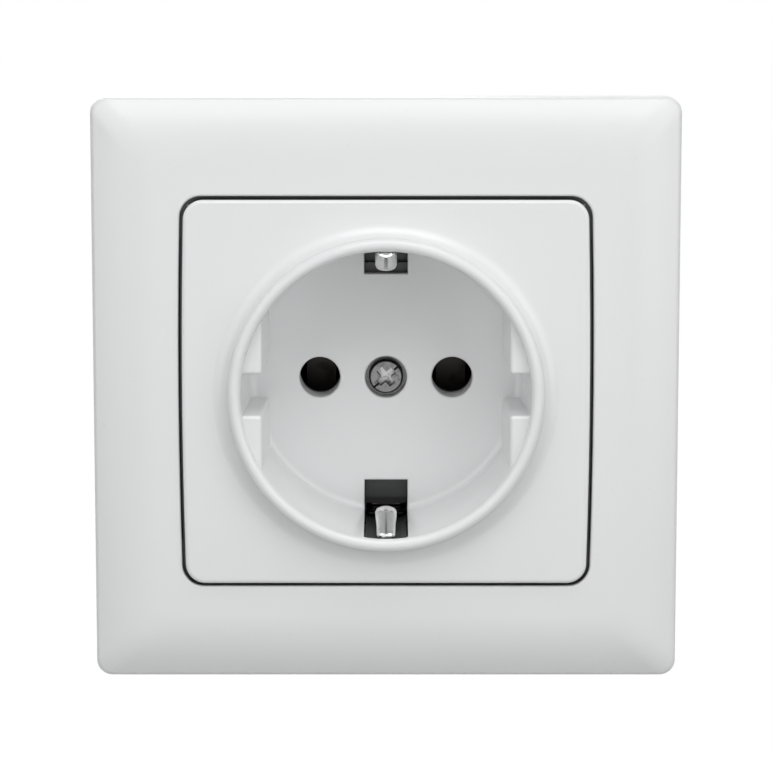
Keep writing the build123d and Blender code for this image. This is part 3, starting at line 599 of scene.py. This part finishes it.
turned_steel = plated_metal(
    "turned_steel", (0.17, 0.17, 0.17), (0.05, 0.05, 0.05),
    {"Streak Scale": 900.0, "Speck Scale": 1500.0, "Gloss": 0.26, "Gloss Spread": 0.22},
    (1.0, 1.0, 1.0), 0.01 * mm,
)
tree = turned_steel.node_tree
coords = tree.nodes.new("ShaderNodeTexCoord")
rings = tree.nodes.new("ShaderNodeTexWave")
rings.wave_type = "RINGS"
rings.rings_direction = "Y"
rings.inputs["Scale"].default_value = 1700.0
rings.inputs["Distortion"].default_value = 1.2
rings.inputs["Detail"].default_value = 2.0
tree.links.new(coords.outputs["Object"], rings.inputs["Vector"])
turning = tree.nodes.new("ShaderNodeBump")
turning.inputs["Distance"].default_value = 0.02 * mm
turning.inputs["Strength"].default_value = 0.5
tree.links.new(rings.outputs["Fac"], turning.inputs["Height"])
tree.links.new(tree.nodes["relief"].outputs["Normal"], turning.inputs["Normal"])
tree.links.new(turning.outputs["Normal"], tree.nodes["Principled BSDF"].inputs["Normal"])
split = tree.nodes.new("ShaderNodeSeparateXYZ")
depth = tree.nodes.new("ShaderNodeMapRange")
# Painted shade and a painted highlight by depth: the face of the head keeps its colour, the sides and the
# recess are darkened as painted shade, and the recess bottom is brightened as a painted highlight.
painted_shading_front = 8.0
painted_shading_back = 10.2
depth.inputs["From Min"].default_value = painted_shading_front * mm
depth.inputs["From Max"].default_value = painted_shading_back * mm
painted_shade_and_highlight = tree.nodes.new("ShaderNodeValToRGB")
painted_shade_and_highlight.color_ramp.elements[0].position = 0.07
painted_shade_and_highlight.color_ramp.elements[0].color = (1, 1, 1, 1)
painted_shade_and_highlight.color_ramp.elements[1].position = 0.13
painted_shade_and_highlight.color_ramp.elements[1].color = (0.08, 0.08, 0.08, 1)
# Painted highlight: the last stop makes the recess bottom 2.6 times brighter than the head's face; the stops
# before it are painted shade.
for position, tone in ((0.80, 0.10), (0.92, 2.6)):
    stop = painted_shade_and_highlight.color_ramp.elements.new(position)
    stop.color = (tone, tone, tone, 1)
painted_shading = tree.nodes.new("ShaderNodeMix")
painted_shading.data_type = "RGBA"
painted_shading.blend_type = "MULTIPLY"
painted_shading.inputs["Factor"].default_value = 1.0
shader = tree.nodes["Principled BSDF"]
plain = shader.inputs["Base Color"].links[0].from_socket
tree.links.new(coords.outputs["Object"], split.inputs[0])
tree.links.new(split.outputs["Y"], depth.inputs["Value"])
tree.links.new(depth.outputs["Result"], painted_shade_and_highlight.inputs["Fac"])
tree.links.new(plain, painted_shading.inputs["A"])
tree.links.new(painted_shade_and_highlight.outputs["Color"], painted_shading.inputs["B"])
tree.links.new(painted_shading.outputs["Result"], shader.inputs["Base Color"])

fit_screws(
    "plate_screw",
    {"Head Radius": 2.475, "Head Height": 2.6, "Shank Radius": 1.5, "Shank Length": 13.5, "Thread Pitch": 0.5,
     "Thread Depth": 0.25, "Recess Width": 2.9, "Slot Width": 0.3},
    [((0, 10.7, 0), (0, -1, 0), 0.72)],
    turned_steel,
    "centre_screw",
)


# Support plate
# Stamped from 1 mm steel sheet and zinc plated, with slots for the two screws of the wall box and a leg
# folded back above and below, to which the base is screwed.
zinc_skin = {"Streak Scale": 500.0, "Speck Scale": 260.0, "Gloss": 0.24, "Gloss Spread": 0.16}
zinc_sheet = plated_metal(
    "zinc_sheet", (0.46, 0.48, 0.51), (0.37, 0.39, 0.42), zinc_skin, (1.0, 1.0, 0.12), 0.015 * mm
)
finish_node("support_plate", zinc_sheet)


# Insulating cap
# Dark grey thermoset cap on the front of the mechanism. It leads the pins in and guards the earthing springs
# with two towers.
dull_skin = {
    "Grain Scale": 1800.0, "Mottle Scale": 300.0, "Mottle": 0.30, "Gloss": 0.36, "Gloss Spread": 0.14,
}
dark_insulator = moulded_plastic("dark_insulator", (0.022, 0.023, 0.024), dull_skin, 0.03 * mm)
finish_node("contact_cap", dark_insulator)


# Socket base
# Moulded in grey thermoset, with the chambers for the contacts, six wire holes at the back and the openings
# for the terminal screws above and below.
base_skin = {
    "Grain Scale": 1500.0, "Mottle Scale": 260.0, "Mottle": 0.18, "Gloss": 0.38, "Gloss Spread": 0.14,
}
base_grey = moulded_plastic("base_grey", (0.115, 0.120, 0.125), base_skin, 0.03 * mm)
finish_node("socket_base", base_grey)


# Earthing strap
# One strip of tinned spring bronze. It lies flat across the mechanism, with a tongue bent out into the earth
# terminal, and each end is bent into a crowned spring arm that stands in its slot of the well.
strap_front = 12.2
strap_thickness = 0.8
strap_half_width = 3.8
strap_end = 18.9
strap_hole = 1.9
window_half = 2.5
window_range = (9.0, 15.2)
arm_line = ((13.0, 18.6), (13.0, 20.4), (7.8, 20.4), (-3.0, 17.3), (-8.4, 20.1))
arm_bends = (1.0, 3.0, 3.2)
arm_halves = ((-8.4, 1.28), (-6.5, 1.30), (-3.5, 1.50), (6.3, 1.55), (9.3, 2.8), (13.0, 2.8))
arm_crowns = ((-8.4, 0.40), (-1.0, 0.42), (6.0, 0.0), (13.0, 0.0))
tongue_line = ((12.2, 7.6), (12.2, 9.0), (25.9, 9.0))
tongue_bends = (0.9,)
tongue_halves = ((12.2, 2.5), (23.5, 2.5), (25.9, 2.1))


def bent_line(points, radii, step=0.15):
    """Points at close steps along a line whose inner corners are rounded with the given radii."""
    stops = [Vector(point) for point in points]
    route = [stops[0]]
    for before, corner, after, radius in zip(stops, stops[1:], stops[2:], radii):
        come = (corner - before).normalized()
        leave = (after - corner).normalized()
        turn = come.angle(leave)
        swing = 1 if come.x * leave.y > come.y * leave.x else -1
        side = Vector((-come.y, come.x)) * swing
        start = corner - come * radius * math.tan(turn / 2)
        count = max(4, round(turn * radius / step))
        for index in range(count + 1):
            bend = turn * index / count
            route.append(start + come * radius * math.sin(bend) + side * radius * (1 - math.cos(bend)))
    route.append(stops[-1])
    line = [route[0]]
    for start, end in zip(route, route[1:]):
        parts = max(1, round((end - start).length / step))
        line += [start.lerp(end, index / parts) for index in range(1, parts + 1)]
    return line


def read_off(table, value):
    """Value of a table of pairs between its lines."""
    for (low, first), (high, second) in zip(table, table[1:]):
        if value <= high:
            share = min(1.0, max(0.0, (value - low) / (high - low)))
            return first + (second - first) * share * share * (3 - 2 * share)
    return table[-1][1]


def add_strip(mesh, line, halves, crowns, side, up):
    """Add a bent strip with round edges, crowned across its width and rounded at its end."""
    across = 15
    last = across - 1
    tip = 0.9
    tip_width = 0.45
    edge_roundness = 7
    left = sum((b - a).length for a, b in zip(line, line[1:]))
    rows = []
    for index, spot in enumerate(line):
        way = (line[min(index + 1, len(line) - 1)] - line[max(index - 1, 0)]).normalized()
        inward = Vector((-way.y, way.x)) * side
        half = read_off(halves, spot.x)
        crown = read_off(crowns, spot.x)
        if left < tip:
            half *= tip_width + (1 - tip_width) * math.sqrt(max(0.0, 1 - (1 - left / tip) ** 2))
        row = []
        for number in range(2 * last):
            face = 1 if number <= last else -1
            u = face * (2 * (number if number <= last else number - last) / last - 1)
            bulge = math.sqrt(max(0.0, 1 - abs(u) ** edge_roundness))
            belly = strap_thickness / 2 * (1 + face * bulge) - crown * u * u
            point = spot + inward * belly
            row.append(mesh.verts.new((u * half * mm, point.x * mm, up * point.y * mm)))
        rows.append(row)
        if index + 1 < len(line):
            left -= (line[index + 1] - spot).length
    for low, high in zip(rows, rows[1:]):
        for index in range(len(low)):
            after = (index + 1) % len(low)
            mesh.faces.new((low[index], low[after], high[after], high[index]))
    mesh.faces.new(rows[0])
    mesh.faces.new(rows[-1])


def add_loop(mesh, points):
    """Add a closed loop of edges at the front level of the strap."""
    corners = [mesh.verts.new((x * mm, strap_front * mm, z * mm)) for x, z in points]
    return [mesh.edges.new((a, b)) for a, b in zip(corners, corners[1:] + corners[:1])]


def round_box(x_limits, z_limits, radius, steps=5):
    """Outline of a rectangle with rounded corners."""
    (left, right), (low, high) = x_limits, z_limits
    outline = []
    for x, z, start in ((right, high, 0), (left, high, 90), (left, low, 180), (right, low, 270)):
        inner_x = x - math.copysign(radius, x - (left + right) / 2)
        inner_z = z - math.copysign(radius, z - (low + high) / 2)
        for index in range(steps + 1):
            angle = math.radians(start + 90 * index / steps)
            outline.append((inner_x + radius * math.cos(angle), inner_z + radius * math.sin(angle)))
    return outline


strap = bmesh.new()
edges = add_loop(strap, round_box((-strap_half_width, strap_half_width), (-strap_end, strap_end), 0.8))
edges += add_loop(strap, round_box((-window_half, window_half), window_range, 0.5))
circle = [math.radians(10 * index) for index in range(36)]
edges += add_loop(strap, [(strap_hole * math.cos(a), strap_hole * math.sin(a)) for a in circle])
sheet = bmesh.ops.triangle_fill(strap, edges=edges, use_beauty=True, use_dissolve=False)
faces = [item for item in sheet["geom"] if isinstance(item, bmesh.types.BMFace)]
raised = bmesh.ops.extrude_face_region(strap, geom=faces)
lifted = [item for item in raised["geom"] if isinstance(item, bmesh.types.BMVert)]
bmesh.ops.translate(strap, vec=(0, strap_thickness * mm, 0), verts=lifted)
for up in (1, -1):
    add_strip(strap, bent_line(arm_line, arm_bends), arm_halves, arm_crowns, 1, up)
add_strip(strap, bent_line(tongue_line, tongue_bends), tongue_halves, ((0.0, 0.0), (30.0, 0.0)), -1, 1)
bmesh.ops.recalc_face_normals(strap, faces=strap.faces)
strap_mesh = bpy.data.meshes.new("earthing_strap")
strap.to_mesh(strap_mesh)
strap.free()
strap_mesh.shade_smooth()
strap_mesh.set_sharp_from_angle(angle=math.radians(40))
spring_metal = plated_metal(
    "spring_metal", (0.92, 0.92, 0.91), (0.66, 0.66, 0.65),
    {"Streak Scale": 1600.0, "Speck Scale": 500.0, "Gloss": 0.10, "Gloss Spread": 0.12},
    (1.0, 0.10, 0.10), 0.02 * mm,
)
tree = spring_metal.node_tree
coords = tree.nodes.new("ShaderNodeTexCoord")
split = tree.nodes.new("ShaderNodeSeparateXYZ")
depth = tree.nodes.new("ShaderNodeMapRange")
# Painted shade by depth: the arms keep their bright colour where they stand in the well and are darkened
# further back in the slot, where little light gets to.
unshaded_to = 1.0
painted_shade_from = 5.0
depth.inputs["From Min"].default_value = unshaded_to * mm
depth.inputs["From Max"].default_value = painted_shade_from * mm
painted_shading = tree.nodes.new("ShaderNodeMix")
painted_shading.data_type = "RGBA"
# Near-black colour of the painted shade on the deep parts of the arms.
painted_shading.inputs["B"].default_value = (0.045, 0.043, 0.040, 1)
shader = tree.nodes["Principled BSDF"]
plain = shader.inputs["Base Color"].links[0].from_socket
tree.links.new(coords.outputs["Object"], split.inputs[0])
tree.links.new(split.outputs["Y"], depth.inputs["Value"])
tree.links.new(depth.outputs["Result"], painted_shading.inputs["Factor"])
tree.links.new(plain, painted_shading.inputs["A"])
tree.links.new(painted_shading.outputs["Result"], shader.inputs["Base Color"])
show_piece("earthing_strap", strap_mesh, spring_metal, "earth_strap")


# Pin contacts, clamps and bush
# Bent bronze clips behind the pin holes, coloured nearly black as painted shade for the dark inside of the
# holes, and brass cages at the three terminals.
# The brass bush in the middle of the base takes the centre screw.
# The clips' nearly black colour is painted shade, not the colour of the bronze.
shade_darkened_bronze = plated_metal(
    "shade_darkened_bronze", (0.060, 0.055, 0.050), (0.030, 0.028, 0.026),
    {"Streak Scale": 700.0, "Speck Scale": 400.0, "Gloss": 0.30, "Gloss Spread": 0.15},
    (1.0, 0.2, 1.0), 0.01 * mm,
)
brass = plated_metal(
    "brass", (0.74, 0.56, 0.27), (0.52, 0.38, 0.18),
    {"Streak Scale": 600.0, "Speck Scale": 350.0, "Gloss": 0.20, "Gloss Spread": 0.16},
    (1.0, 0.25, 1.0), 0.01 * mm,
)
for name in ("live_contact", "neutral_contact"):
    finish_node(name, shade_darkened_bronze)
for name in ("live_clamp", "neutral_clamp", "earth_clamp", "screw_bush"):
    finish_node(name, brass)


# Terminal screws
# Zinc-plated steel screws in the three clamps, reached through the round openings in the base.
bright_steel = plated_metal(
    "bright_steel", (0.48, 0.49, 0.51), (0.30, 0.31, 0.32),
    {"Streak Scale": 900.0, "Speck Scale": 700.0, "Gloss": 0.22, "Gloss Spread": 0.18},
    (1.0, 1.0, 1.0), 0.01 * mm,
)
terminal_y = 22.7
for name, x, z, way in (("live", -9.5, -19.6, -1), ("neutral", 9.5, -19.6, -1), ("earth", 0.0, 16.4, 1)):
    fit_screws(
        name + "_clamp_screw",
        {"Head Radius": 2.9, "Head Height": 2.0, "Shank Radius": 1.7, "Shank Length": 5.4,
         "Thread Pitch": 0.7, "Thread Depth": 0.30, "Recess Width": 2.6, "Slot Width": 0.8},
        [((x, terminal_y, z), (0, 0, way), 0.5 + 0.1 * x)],
        bright_steel,
        name + "_terminal_screw",
    )


# Cap screws and yoke screws
# Two small screws hold the cap on the base, and two more go through the legs of the support plate into the
# base from above and below.
small_screw = {
    "Head Radius": 2.1, "Head Height": 1.4, "Shank Radius": 1.15, "Thread Pitch": 0.8, "Thread Depth": 0.25,
    "Recess Width": 2.0, "Slot Width": 0.5,
}
fit_screws(
    "cap_fixings",
    {**small_screw, "Shank Length": 8.0},
    [((-10.5, 11.4, 12.0), (0, -1, 0), 0.4), ((10.5, 11.4, 12.0), (0, -1, 0), 1.1)],
    bright_steel,
    "cap_screws",
)
fit_screws(
    "yoke_fixings",
    {**small_screw, "Shank Length": 5.0},
    [((0, 15.8, 23.2), (0, 0, 1), 0.3), ((0, 15.8, -23.2), (0, 0, -1), 0.9)],
    bright_steel,
    "yoke_screws",
)


# Spreader claws with their screws and pivot pins
# Each claw is bent from zinc-plated steel sheet with three teeth, and turns on a pin between two cheeks of
# the base. Its long screw comes through the support plate from the front and pulls the claw outwards.
claw_skin = {"Streak Scale": 450.0, "Speck Scale": 300.0, "Gloss": 0.26, "Gloss Spread": 0.16}
claw_steel = plated_metal(
    "claw_steel", (0.47, 0.48, 0.50), (0.33, 0.34, 0.36), claw_skin, (1.0, 0.2, 1.0), 0.02 * mm
)
for name in nodes:
    if name.startswith("claw_") and "screw" not in name:
        finish_node(name, claw_steel)
for name, side in (("left", -1), ("right", 1)):
    fit_screws(
        "claw_bolt_" + name,
        {"Head Radius": 2.4, "Head Height": 1.5, "Shank Radius": 1.5, "Shank Length": 24.0,
         "Thread Pitch": 0.5, "Thread Depth": 0.27, "Recess Width": 2.4, "Slot Width": 0.6},
        [((side * 25.0, -1.0, side * 8.0), (0, -1, 0), 0.6 * side)],
        bright_steel,
        "claw_screw_" + name,
    )
